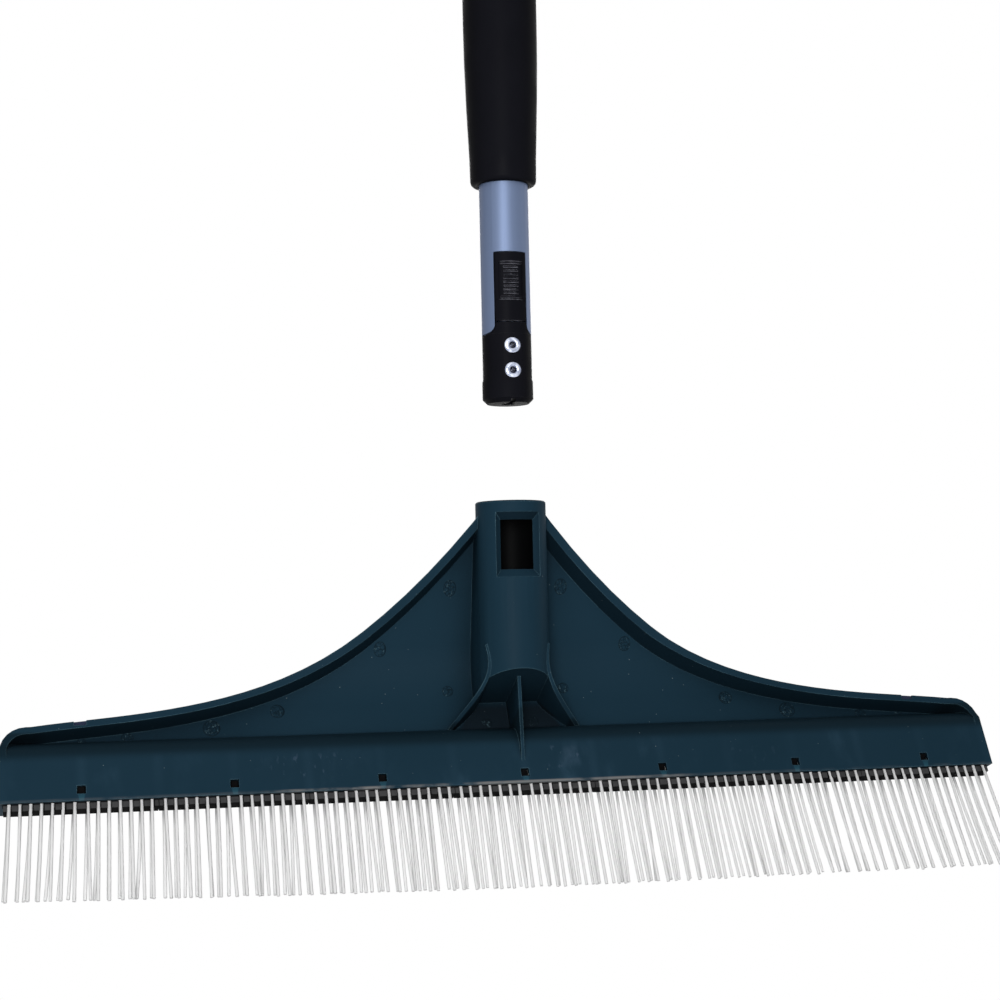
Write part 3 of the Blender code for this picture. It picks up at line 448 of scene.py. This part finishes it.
def ramp_painted_glow(tree, colour, spot, face):
    """The thin ramp under each hook's window, which narrows downwards, lighter with painted light as if some
    shone through it.
    """
    x, _, z = spot
    half = span(tree, z, 0.0, HOOK_HEIGHT, RAMP_WIDTH * 0.28, RAMP_WIDTH * 0.5)
    from_hook = maths(tree, "PINGPONG", x, SEGMENT_PITCH / 2)
    ramp = both(tree, under(tree, maths(tree, "SUBTRACT", from_hook, half), 0.0),
                inside(tree, z, -0.001, HOOK_HEIGHT - HOOK_WINDOW / 2))
    lit = both(tree, ramp, face, span(tree, z, 0.0, RAMP_FADE, 0.55, 0.25))
    return mixed(tree, lit, colour, RAMP_PAINTED_GLOW)


def scuffed(tree, colour, place, spot):
    """The beam's lower lip, scuffed grey, and most of all near the middle."""
    x, y, z = spot
    lip = both(tree, under(tree, z, LIP_HEIGHT, 0.0004), under(tree, y, LIP_DEPTH, 0.001))
    rubbed = span(tree, noise(tree, place, 130.0, detail=4.0, stretch=(0.5, 1.0, 1.0)), 0.38, 0.60)
    middle = span(tree, off(tree, x, LIP_RUB_MIDDLE), LIP_RUB_END, LIP_RUB_HALF, 0.15, 0.9)
    return mixed(tree, both(tree, lip, rubbed, middle), colour, SCUFFED_LIP)


def painted_shade_and_tint(tree, colour, spot):
    """Painted shade on the beam's rounded top and the panel between the gussets, and a tint in the rim's
    notches.
    """
    x, y, z = spot
    brow = both(tree, under(tree, y, PLATE_FLOOR - 0.0009, 0.0006), above(tree, z, BEAM_FACE, 0.004),
                under(tree, z, BEAM_FACE + BROW_HEIGHT, 0.001))
    colour = mixed(tree, eased(tree, brow, 0.55), colour, BROW_PAINTED_SHADE)
    slanted = maths(tree, "ADD", off(tree, x), maths(tree, "MULTIPLY", z, PANEL_SLANT))
    panel = both(tree, under(tree, slanted, PANEL_HALF, 0.0015), under(tree, z, PANEL_TOP, 0.003),
                 inside(tree, y, PANEL_FRONT, PLATE_FLOOR + 0.0008, 0.0004))
    colour = mixed(tree, eased(tree, panel, 0.6), colour, PANEL_PAINTED_SHADE)
    wall = RIM_SETBACK + NOTCH_DEPTH
    notch = both(tree, under(tree, off(tree, off(tree, x), NOTCH_PLACE), NOTCH_HALF),
                 inside(tree, y, wall - CRISP, wall + CRISP, CRISP / 2), above(tree, z, NOTCH_FLOOR))
    return mixed(tree, notch, colour, NOTCH_TINT)


def painted_hollow_shade(tree, colour, place, spot):
    """Painted shade in the socket's bore, in deep corners, and on walls above the beam that face in or down.
    """
    x, _, z = spot
    from_axis = wire(tree, "VectorMath", {0: place, 1: (1, 1, 0)}, operation="MULTIPLY").outputs["Vector"]
    deep = both(tree, under(tree, length(tree, from_axis), BORE_RADIUS + 0.00035, 0.00025),
                above(tree, along(tree, place, (0, 0, 1), -POLE_ZERO), DEEP_FOOT, 0.0005))
    open_sky = wire(tree, "AmbientOcclusion", {"Distance": CAVE_REACH}, samples=6).outputs["AO"]
    cave = span(tree, open_sky, 0.85, 0.35, 0.0, 0.60)
    normal = facing(tree)
    outwards = maths(tree, "MULTIPLY", dot(tree, normal, (1, 0, 0)), x)
    inwards = span(tree, outwards, -0.002, -0.008, 0.0, 0.5)
    downwards = span(tree, dot(tree, normal, (0, SINE, COSINE)), -0.74, -0.90, 0.0, 0.5)
    pocket = both(tree, most(tree, inwards, downwards), above(tree, z, BEAM_FACE + 0.0015, 0.001))
    return mixed(tree, most(tree, deep, cave, pocket), colour, HOLLOW_PAINTED_SHADE)


def crazed_skin(tree, colour, normal, place):
    """A moulding mark's net of fine cracks with glints between, in a ring. Returns colour and normal."""
    radius = length(tree, wire(tree, "UVMap").outputs["UV"])
    wander = wire(tree, "TexNoise", {"Vector": place, "Scale": 500.0}).outputs["Color"]
    sockets = {0: wander, 1: (0.0022, 0.0022, 0.0022), 2: place}
    wavy = wire(tree, "VectorMath", sockets, operation="MULTIPLY_ADD").outputs["Vector"]
    cells = wire(tree, "TexVoronoi", {"Vector": wavy, "Scale": 620.0}, feature="DISTANCE_TO_EDGE")
    from_crack = cells.outputs["Distance"]
    crack = both(tree, span(tree, from_crack, 0.11, 0.03), span(tree, radius, 0.95, 0.85))
    lines = most(tree, crack, inside(tree, radius, 0.86, 0.96, 0.03))
    glint = both(tree, span(tree, noise(tree, place, 700.0), 0.52, 0.70),
                 span(tree, from_crack, 0.06, 0.14), span(tree, from_crack, 0.26, 0.16))
    colour = mixed(tree, eased(tree, lines, 0.6), colour, CRACK_SHADE)
    colour = mixed(tree, eased(tree, glint, 0.6), colour, CRACK_GLINT)
    return colour, bump(tree, lines, -0.00008, normal)


# Materials

def moulded_teal(name="moulded_teal", crazed=False):
    """Dark teal moulded plastic: cloudy, hazy on the beam's face, scuffed at lip and edges, dusty; with
    painted sheen, light, highlights and shade.
    """
    material, tree, shader = blank(name, Specular_IOR_Level=0.02)
    place = object_place(tree)
    spot = head_place(tree, place)
    cloud = noise(tree, place, 14.0, detail=3.0)
    face = both(tree, under(tree, spot[1], FACE_DEPTH, 0.0003), under(tree, spot[2], BEAM_FACE, 0.002))
    colour = haze_and_painted_sheen(tree, mixed(tree, cloud, *TEAL), place, spot, cloud, face)
    colour = ramp_painted_glow(tree, colour, spot, face)
    colour = painted_shade_and_tint(tree, scuffed(tree, colour, place, spot), spot)
    soft = softened(tree, 0.0006)
    patchy = span(tree, noise(tree, place, 40.0, detail=3.0), 0.35, 0.65, 0.25, 0.75)
    # Lighter edges in patches: real wear with painted highlights
    colour = mixed(tree, both(tree, edges(tree, soft), patchy), colour, TEAL_WEAR_AND_HIGHLIGHT)
    specks = dust_specks(tree, place, 190.0, share=0.95, size=0.045)
    colour = mixed(tree, both(tree, specks, span(tree, cloud, 0.35, 0.65, 0.1, 0.7)), colour, PALE_DUST)
    colour = painted_hollow_shade(tree, colour, place, spot)
    normal = bump(tree, noise(tree, place, 900.0), 0.00002, soft)
    if crazed:
        colour, normal = crazed_skin(tree, colour, normal, place)
    roughness = span(tree, cloud, 0.3, 0.7, 0.46, 0.58)
    paint(tree, shader, Base_Color=colour, Normal=normal, Roughness=roughness)
    return material


def moulded_black():
    """The comb's black plastic, greyer in patches on the part that stands out below the lip."""
    material, tree, shader = blank("moulded_black", Roughness=0.6, Specular_IOR_Level=0.01)
    place = object_place(tree)
    y, z = head_place(tree, place, "yz")
    cloud = noise(tree, place, 220.0, detail=3.0)
    greyed_front = both(tree, under(tree, z, 0.0), under(tree, y, 0.0028), span(tree, cloud, 0.25, 0.7, 0.65, 1.0))
    colour = mixed(tree, greyed_front, mixed(tree, cloud, *COMB_BLACK), COMB_FRONT_GREY)
    normal = bump(tree, noise(tree, place, 1500.0), 0.00002, softened(tree, 0.0002))
    paint(tree, shader, Base_Color=colour, Normal=normal)
    return material


def clear_nylon():
    """Translucent white filament with drawn streaks along it, greyer with painted shade at its sides and
    painted shadow near its root.
    """
    material, tree, shader = blank("clear_nylon", Roughness=0.45, Specular_IOR_Level=0.1)
    place = object_place(tree)
    y, z = head_place(tree, place, "yz")
    colour = mixed(tree, noise(tree, place, 260.0, detail=1.0, stretch=(1.0, 1.0, 0.08)), *CLEAR_NYLON)
    colour = mixed(tree, span(tree, turned_away(tree), 0.30, 1.0, 0.0, 0.3), colour, NYLON_PAINTED_SIDE_SHADE)
    rear = span(tree, y, REAR_ROW - 0.002, REAR_ROW - 0.001, 0.25, 0.75)
    root_shadow = both(tree, span(tree, z, -0.012, 0.0), rear)
    paint(tree, shader, Base_Color=mixed(tree, root_shadow, colour, NYLON_PAINTED_ROOT_SHADOW))
    return material


def anodised_tube():
    """Blue-grey satin anodising with faint drawn lines along the tube, darker with painted shade where it
    turns away.
    """
    material, tree, shader = blank("anodised_tube", Metallic=0.5)
    drawn = noise(tree, object_place(tree), 700.0, detail=3.0, stretch=(1.0, 1.0, 0.01))
    side = span(tree, turned_away(tree), 0.10, 0.9, 0.0, 0.75)
    colour = mixed(tree, side, mixed(tree, drawn, *ANODISED_BLUE), ANODISED_PAINTED_SIDE_SHADE)
    roughness = span(tree, drawn, 0.3, 0.7, 0.46, 0.58)
    paint(tree, shader, Base_Color=colour, Roughness=roughness, Normal=bump(tree, drawn, 0.000004))
    return material


def painted_rib_highlights(tree, place, rubbed):
    """A mask of painted highlights on edges and tilted rib flanks, in the middle of the pad's width."""
    tilted = span(tree, off(tree, dot(tree, facing(tree), (0, 0, 1))), 0.10, 0.40)
    middle = span(tree, off(tree, dot(tree, place, (1, 0, 0))), PAD_HIGHLIGHT_END, PAD_HIGHLIGHT_HALF)
    return both(tree, most(tree, rubbed, tilted), middle)


def black_fitting(name, rub_and_highlight, wear_and_highlight=FITTING_WEAR_AND_HIGHLIGHT, ribbed=False):
    """Black moulded plastic with a fine grain, painted shade where it turns away, and rubbed edges with
    painted highlights; if ribbed, painted highlights on the pad's ribs and edges instead.
    """
    material, tree, shader = blank(name, Specular_IOR_Level=0.012)
    place = object_place(tree)
    cloud = noise(tree, place, 60.0, detail=3.0)
    side = span(tree, turned_away(tree), 0.10, 0.7, 0.0, 0.85)
    colour = mixed(tree, side, mixed(tree, cloud, *FITTING_BLACK), FITTING_PAINTED_SIDE_SHADE)
    soft = softened(tree, 0.0003)
    patchy = span(tree, noise(tree, place, 300.0), 0.35, 0.70, 0.1 * rub_and_highlight, rub_and_highlight)
    # Rubbed edges: real wear with painted highlights
    rubbed = both(tree, edges(tree, soft), patchy)
    if ribbed:
        rubbed = painted_rib_highlights(tree, place, rubbed)
    normal = bump(tree, noise(tree, place, 1600.0), 0.000025, soft)
    roughness = span(tree, cloud, 0.3, 0.7, 0.38, 0.50)
    paint(tree, shader, Base_Color=mixed(tree, rubbed, colour, wear_and_highlight), Normal=normal, Roughness=roughness)
    return material


def plated_rivet():
    """Bright plating, greyer with painted shade where it turns away and in the groove round the rivet's
    hole.
    """
    material, tree, shader = blank("plated_rivet", Metallic=1.0)
    smear = noise(tree, object_place(tree), 420.0)
    colour = mixed(tree, span(tree, smear, 0.35, 0.65), *PLATING)
    radius = wire(tree, "Attribute", attribute_name="ring_radius").outputs["Fac"]
    groove = inside(tree, radius, *RIVET_GROOVE)
    colour = mixed(tree, eased(tree, groove, 0.8), colour, PLATING_PAINTED_GROOVE_SHADE)
    colour = mixed(tree, span(tree, turned_away(tree), 0.12, 0.50), colour, PLATING_PAINTED_SIDE_SHADE)
    paint(tree, shader, Base_Color=colour, Roughness=span(tree, smear, 0.3, 0.7, 0.16, 0.32))
    return material


def natural_nylon():
    """Undyed nylon of the clamp and the bush, a little cloudy."""
    material, tree, shader = blank("natural_nylon", Roughness=0.42, Specular_IOR_Level=0.3)
    paint(tree, shader, Base_Color=mixed(tree, noise(tree, object_place(tree), 90.0), *NATURAL_NYLON))
    return material


def grip_foam():
    """Closed-cell foam: matt black with small pores."""
    material, tree, shader = blank("grip_foam", Roughness=0.85, Specular_IOR_Level=0.05)
    cells = wire(tree, "TexVoronoi", {"Vector": object_place(tree), "Scale": 1400.0}).outputs["Distance"]
    pores = span(tree, cells, 0.1, 0.6)
    paint(tree, shader, Base_Color=mixed(tree, pores, *FOAM_BLACK), Normal=bump(tree, pores, 0.00012))
    return material


# Mesh helpers

def shown(name, mesh, material, body):
    """A piece of a mesh, in its material, which rides on a body."""
    mesh.materials.clear()
    mesh.materials.append(material)
    piece = bpy.data.objects.new(name, mesh)
    bpy.context.scene.collection.objects.link(piece)
    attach(piece, body)
    return piece


def made_piece(name, points, faces, material, body, sharp):
    """A piece of numpy points and lists of corners, smooth but for edges past the sharp angle."""
    mesh = bpy.data.meshes.new(name)
    mesh.from_pydata(points.reshape(-1, 3).tolist(), [], faces)
    mesh.shade_smooth()
    mesh.set_sharp_from_angle(angle=math.radians(sharp))
    return shown(name, mesh, material, body)


def read(items, key, width=1, kind=float):
    """A value of every vertex, edge, corner or face, as an array."""
    values = np.empty(len(items) * width, kind)
    items.foreach_get(key, values)
    return values.reshape(-1, width) if width > 1 else values


def round_steps(sides):
    """Angles in even steps round a circle."""
    return 2 * np.pi * np.arange(sides) / sides


def ring_quads(rings, sides, closed=False):
    """Quads between rings of points numbered ring by ring, and back to the first ring if closed."""
    ring = np.arange(rings if closed else rings - 1)[:, None]
    near, far = ring * sides, (ring + 1) % rings * sides
    here = np.arange(sides)
    after = (here + 1) % sides
    return np.stack([near + here, near + after, far + after, far + here], axis=-1).reshape(-1, 4)


def tube_faces(runs, rings, sides):
    """Quads along many tubes, and a flat cap at both ends of each, as lists of corners."""
    start = np.arange(runs)[:, None] * rings * sides
    quads = start[:, :, None] + ring_quads(rings, sides)
    first = start + np.arange(sides)[::-1]
    last = start + (rings - 1) * sides + np.arange(sides)
    return quads.reshape(-1, 4).tolist() + first.tolist() + last.tolist()


def mark_flat_faces(mesh):
    """Gives broad flat regions all the say in the normals at their borders with the strips of rounds.

    Triangles that share an edge and a direction get one label, the lowest number among them. A region's
    breadth is 2 x its area / its outline, and a region broader than BROAD_FACE is flat.
    """
    area, normal = read(mesh.polygons, "area"), read(mesh.polygons, "normal", 3)
    edge_of_loop = read(mesh.loops, "edge_index", kind=int)
    ends, places = read(mesh.edges, "vertices", 2, int), read(mesh.vertices, "co", 3)
    one, other = (np.argsort(edge_of_loop, kind="stable") // 3).reshape(-1, 2).T
    same = (normal[one] * normal[other]).sum(axis=1) > math.cos(FLAT_TURN)
    label = np.arange(len(area))
    while (label[one[same]] != label[other[same]]).any():
        lowest = np.minimum(label[one[same]], label[other[same]])
        np.minimum.at(label, one[same], lowest)
        np.minimum.at(label, other[same], lowest)
        label = label[label]
    border = np.linalg.norm(places[ends[:, 0]] - places[ends[:, 1]], axis=1) * ~same
    outline = np.bincount(label[one], border, len(area)) + np.bincount(label[other], border, len(area))
    breadth = 2 * np.bincount(label, area, len(area)) / np.maximum(outline, 1e-9)
    say = np.where(breadth[label] > BROAD_FACE, STRONG_FACE, WEAK_FACE).astype(np.int32)
    strength = mesh.attributes.new("__mod_weightednormals_faceweight", "INT", "FACE")
    strength.data.foreach_set("value", say)


# Pieces

def refined(node, material, body):
    """A copy of a CAD node with its corners joined, its flat regions flat and its round parts smooth."""
    shape = bmesh.new()
    shape.from_mesh(frame["nodes"][node].data)
    bmesh.ops.remove_doubles(shape, verts=shape.verts, dist=JOIN_DISTANCE)
    mesh = bpy.data.meshes.new(node + "_skin")
    shape.to_mesh(mesh)
    shape.free()
    if "custom_normal" in mesh.attributes:
        mesh.attributes.remove(mesh.attributes["custom_normal"])
    mesh.shade_smooth()
    mesh.set_sharp_from_angle(angle=math.radians(SKIN_SHARP))
    mark_flat_faces(mesh)
    piece = shown(node + "_skin", mesh, material, body)
    weighted = piece.modifiers.new("weighted", "WEIGHTED_NORMAL")
    weighted.mode = "CORNER_ANGLE"
    weighted.keep_sharp = True
    weighted.use_face_influence = True
    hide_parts(node)


def bristle_set(number, material, random):
    """Two rows of filaments, each a round tube on the bowed line root + lean x bent step - reach x step.

    The step goes from 0 at the root to 1 at the tip, and the bent step is a mix of the step and its square.
    """
    middle = (number - (SEGMENTS - 1) / 2) * SEGMENT_PITCH
    pitch = SEGMENT_PITCH / (TUFTS - 2 + 2 * GROUP_GAP)
    right = (np.arange(TUFTS // 2) + 0.5) * pitch + (GROUP_GAP - 1) / 2 * pitch
    across = middle + np.concatenate([-right[::-1], right])
    root_x = np.concatenate([across, across])
    root_y = np.repeat([FRONT_ROW, REAR_ROW], TUFTS)
    front = root_y == FRONT_ROW
    share = root_x / (HEAD_LENGTH / 2)
    count = len(root_x)
    lean_x = np.interp(share, LEAN_PLACES, LEAN_SHIFTS) + np.where(front, FRONT_LEAN[0], REAR_LEAN[0])
    lean_x = lean_x + random.normal(0.0, LEAN_SPREAD[0], count)
    lean_y = np.where(front, FRONT_LEAN[1], REAR_LEAN[1]) + random.normal(0.0, LEAN_SPREAD[1], count)
    trim = np.interp(share, TRIM_PLACES, TRIM_LENGTHS) + np.where(front, FRONT_TRIM, REAR_TRIM)
    reach = BRISTLE_REACH + ROOT_HEIGHT + trim - random.uniform(0.0, TRIM_SPREAD, count)
    bow = random.uniform(*BOW_RANGE, count)[:, None]
    step = np.linspace(0.0, 1.0, FILAMENT_RINGS)
    bent = (1 - bow) * step + bow * step ** 2
    centre = np.stack([
        root_x[:, None] + lean_x[:, None] * bent,
        root_y[:, None] + lean_y[:, None] * bent,
        ROOT_HEIGHT - reach[:, None] * step,
    ], axis=-1)
    turn = round_steps(FILAMENT_SIDES)
    ring = np.stack([np.cos(turn), np.sin(turn), np.zeros(FILAMENT_SIDES)], axis=-1)
    radius = FILAMENT / 2 * random.uniform(*FILAMENT_SWELL, count)
    points = from_head(centre[:, :, None, :] + radius[:, None, None, None] * ring)
    faces = tube_faces(count, FILAMENT_RINGS, FILAMENT_SIDES)
    node = f"bristle_set_{number + 1}"
    piece = made_piece(node + "_filaments", points, faces, material, "head", SHEET_SHARP)
    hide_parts(node)


def ejector_mark(number, side, mark, material):
    """A round patch on the plate: rings in X and Z at the plate's Y, raised a hair, the outer one sunk."""
    across, height, radius = mark
    turn = round_steps(ROUND_SIDES)
    rings = np.array(MARK_RINGS)[:, None] * radius
    x = side * across + rings * np.cos(turn)
    z = height + rings * np.sin(turn)
    y, slope = plate_front(z)
    lift = np.where(rings < radius, MARK_RISE, -MARK_RISE)
    points = from_head(np.stack([x, y - lift * np.cos(slope), z - lift * np.sin(slope)], axis=-1))
    faces = ring_quads(len(MARK_RINGS), ROUND_SIDES)[:, ::-1].tolist() + [list(range(ROUND_SIDES))]
    end = "left" if side < 0 else "right"
    name = f"ejector_mark_{end}_{number + 1}"
    piece = made_piece(name, points, faces, material, "head", SHEET_SHARP)
    flat = (np.stack([x - side * across, z - height], axis=-1) / radius).reshape(-1, 2)
    corners = read(piece.data.loops, "vertex_index", kind=int)
    piece.data.uv_layers.new(name="UVMap").data.foreach_set("uv", flat[corners].ravel())


def rivet_piece(node, height, material):
    """Both ends and the barrel of a tubular rivet: a closed outline of (radius, distance) turned about Y."""
    half = np.array(RIVET_PROFILE)
    radius, distance = np.concatenate([half, half[::-1] * (1, -1)]).T[:, :, None]
    turn = round_steps(ROUND_SIDES)
    x, y, z = np.broadcast_arrays(radius * np.cos(turn), -distance, height + radius * np.sin(turn))
    faces = ring_quads(len(radius), ROUND_SIDES, closed=True)[:, [0, 3, 2, 1]].tolist()
    points = np.stack([x, y, z], axis=-1)
    piece = made_piece(node + "_skin", points, faces, material, "lower", RIVET_SHARP)
    ring_radius = piece.data.attributes.new("ring_radius", "FLOAT", "POINT")
    ring_radius.data.foreach_set("value", np.repeat(radius, ROUND_SIDES))
    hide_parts(node)


def dress():
    """Makes the materials and every piece of the rake, from the head up."""
    random = np.random.default_rng(7)
    teal, crazed = moulded_teal(), moulded_teal("crazed_teal", crazed=True)
    black, nylon = moulded_black(), clear_nylon()
    tube, rivet = anodised_tube(), plated_rivet()
    fitting = black_fitting("black_fitting", 0.35)
    pad = black_fitting("black_pad", 0.9, PAD_RIB_HIGHLIGHT, ribbed=True)
    white, foam = natural_nylon(), grip_foam()
    refined("head_shell", teal, "head")
    for number, mark in enumerate(EJECTOR_MARKS):
        ejector_mark(number, -1, mark, crazed)
        ejector_mark(number, 1, mark, crazed)
    for number in range(SEGMENTS):
        refined(f"comb_segment_{number + 1}", black, "head")
        bristle_set(number, nylon, random)
    refined("pole_connector", fitting, "lower")
    refined("latch_tongue", pad, "latch")
    rivet_piece("rivet_lower", CONNECTOR_END + LOWER_RIVET, rivet)
    rivet_piece("rivet_upper", CONNECTOR_END + UPPER_RIVET, rivet)
    refined("lower_tube", tube, "lower")
    refined("guide_bush", white, "lower")
    refined("clamp_body", white, "upper")
    refined("lock_collar", fitting, "collar")
    refined("upper_tube", tube, "upper")
    refined("hand_grip", foam, "upper")
    refined("end_cap", fitting, "upper")


# Stage and camera

def placed(name, data, place, turn):
    """An object at a place, turned by three angles in degrees."""
    holder = bpy.data.objects.new(name, data)
    holder.location = place
    holder.rotation_euler = Euler([math.radians(angle) for angle in turn])
    bpy.context.scene.collection.objects.link(holder)
    return holder


def lamp(name, place, turn, size, power):
    """A round soft lamp."""
    light = bpy.data.lights.new(name, "AREA")
    light.shape = "DISK"
    light.size = size
    light.energy = power
    placed(name, light, place, turn)


def white_room():
    """A world that is white where it is seen or mirrored, and lights the object evenly and softly."""
    world = bpy.data.worlds.new("studio")
    bpy.context.scene.world = world
    world.use_nodes = True
    shade = world.node_tree.nodes["Background"]
    shade.inputs["Color"].default_value = WHITE
    paint(world.node_tree, shade, Strength=where_seen(world.node_tree, *ROOM_LEVELS))


def pale_floor(height):
    """A disc as white as the room: corners in even steps on a circle, below the rake's full reach."""
    turn = round_steps(FLOOR_SIDES)
    rim = [FLOOR_RADIUS * np.cos(turn), FLOOR_RADIUS * np.sin(turn), np.full(FLOOR_SIDES, height)]
    mesh = bpy.data.meshes.new("floor")
    mesh.from_pydata(np.stack(rim, axis=-1).tolist(), [], [list(range(FLOOR_SIDES))])
    material, tree, shader = blank("pale_floor", Base_Color=FLOOR_GREY, Roughness=0.9,
                                   Specular_IOR_Level=0.0, Emission_Color=WHITE)
    paint(tree, shader, Emission_Strength=where_seen(tree, *FLOOR_LEVELS))
    mesh.materials.append(material)
    floor = bpy.data.objects.new("floor", mesh)
    bpy.context.scene.collection.objects.link(floor)


def photo_camera():
    """A camera that sees the rake as the photo does."""
    camera = bpy.data.cameras.new("photo_camera")
    camera.type = "PERSP"
    camera.sensor_width = SENSOR
    camera.lens = LENS
    camera.clip_start = NEAREST
    bpy.context.scene.camera = placed("photo_camera", camera, CAMERA_PLACE, CAMERA_TURN)


def studio():
    """Sets the camera, the lamps, the room and the floor."""
    bpy.context.scene.view_settings.view_transform = "Standard"
    photo_camera()
    white_room()
    pale_floor(CAD_BOX[0][2] - FLOOR_DROP)
    for settings in LAMPS:
        lamp(*settings)


dress()
studio()
